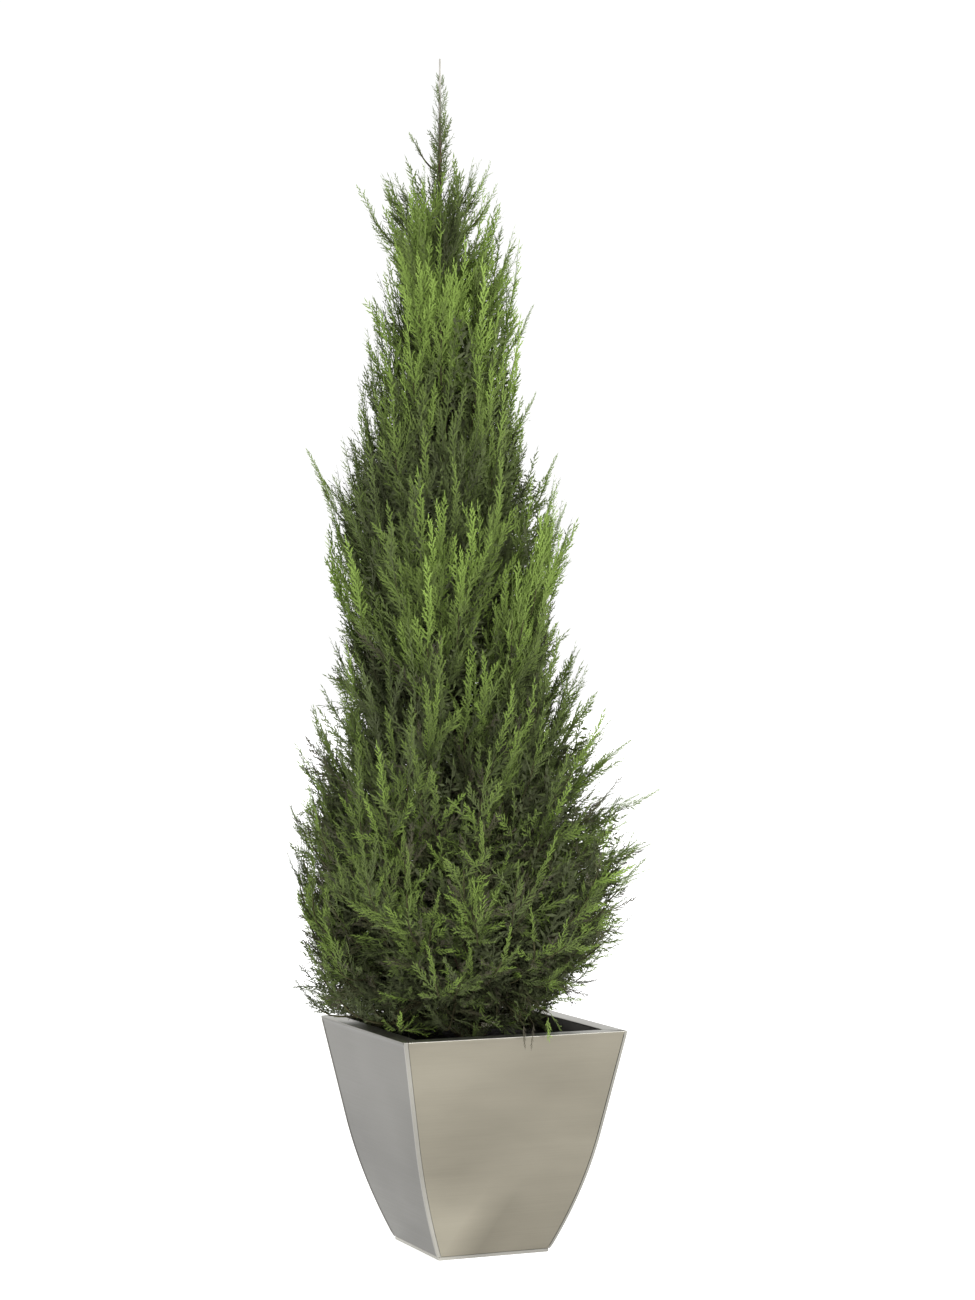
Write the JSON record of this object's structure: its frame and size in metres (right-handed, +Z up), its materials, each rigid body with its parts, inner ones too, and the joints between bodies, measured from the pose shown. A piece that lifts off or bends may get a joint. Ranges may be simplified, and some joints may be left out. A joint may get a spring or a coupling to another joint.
{
  "type": "conical conifer in square metal planter",
  "caption": "Tall feathery conical conifer, unclipped, growing in a square tapered planter of brushed steel with curved sides.",
  "frame": {"origin": "centre of the planter's flat underside, on the floor", "axes": "+Z up along the trunk, -Y out of the planter's front panel, -X out of its left panel"},
  "size_m": [0.608, 0.5693, 2.01],
  "materials": {
    "brushed_steel": "brushed stainless steel, satin",
    "compost": "damp potting compost, matt",
    "bark": "thin fibrous bark, matt",
    "foliage": "scale-leaved green sprays, satin"
  },
  "bodies": {
    "root": {"bough_lower_1": "bark", "bough_lower_2": "bark", "bough_lower_3": "bark", "bough_lower_4": "bark", "bough_lower_5": "bark", "bough_middle_1": "bark", "bough_middle_2": "bark", "bough_middle_3": "bark", "bough_middle_4": "bark", "bough_middle_5": "bark", "bough_skirt_1": "bark", "bough_skirt_2": "bark", "bough_skirt_3": "bark", "bough_skirt_4": "bark", "bough_skirt_5": "bark", "bough_upper_1": "bark", "bough_upper_2": "bark", "bough_upper_3": "bark", "bough_upper_4": "bark", "foliage_lower_1": "foliage", "foliage_lower_2": "foliage", "foliage_lower_3": "foliage", "foliage_lower_4": "foliage", "foliage_lower_5": "foliage", "foliage_middle_1": "foliage", "foliage_middle_2": "foliage", "foliage_middle_3": "foliage", "foliage_middle_4": "foliage", "foliage_middle_5": "foliage", "foliage_shoulder_1": "foliage", "foliage_shoulder_2": "foliage", "foliage_shoulder_3": "foliage", "foliage_shoulder_4": "foliage", "foliage_skirt_1": "foliage", "foliage_skirt_2": "foliage", "foliage_skirt_3": "foliage", "foliage_skirt_4": "foliage", "foliage_skirt_5": "foliage", "foliage_spire": "foliage", "foliage_top_1": "foliage", "foliage_top_2": "foliage", "foliage_top_3": "foliage", "foliage_top_4": "foliage", "foliage_upper_1": "foliage", "foliage_upper_2": "foliage", "foliage_upper_3": "foliage", "foliage_upper_4": "foliage", "planter_base": "brushed_steel", "planter_panel_back": "brushed_steel", "planter_panel_front": "brushed_steel", "planter_panel_left": "brushed_steel", "planter_panel_right": "brushed_steel", "planter_post_1": "brushed_steel", "planter_post_2": "brushed_steel", "planter_post_3": "brushed_steel", "planter_post_4": "brushed_steel", "potting_compost": "compost", "trunk": "bark"}
  },
  "joints": []
}
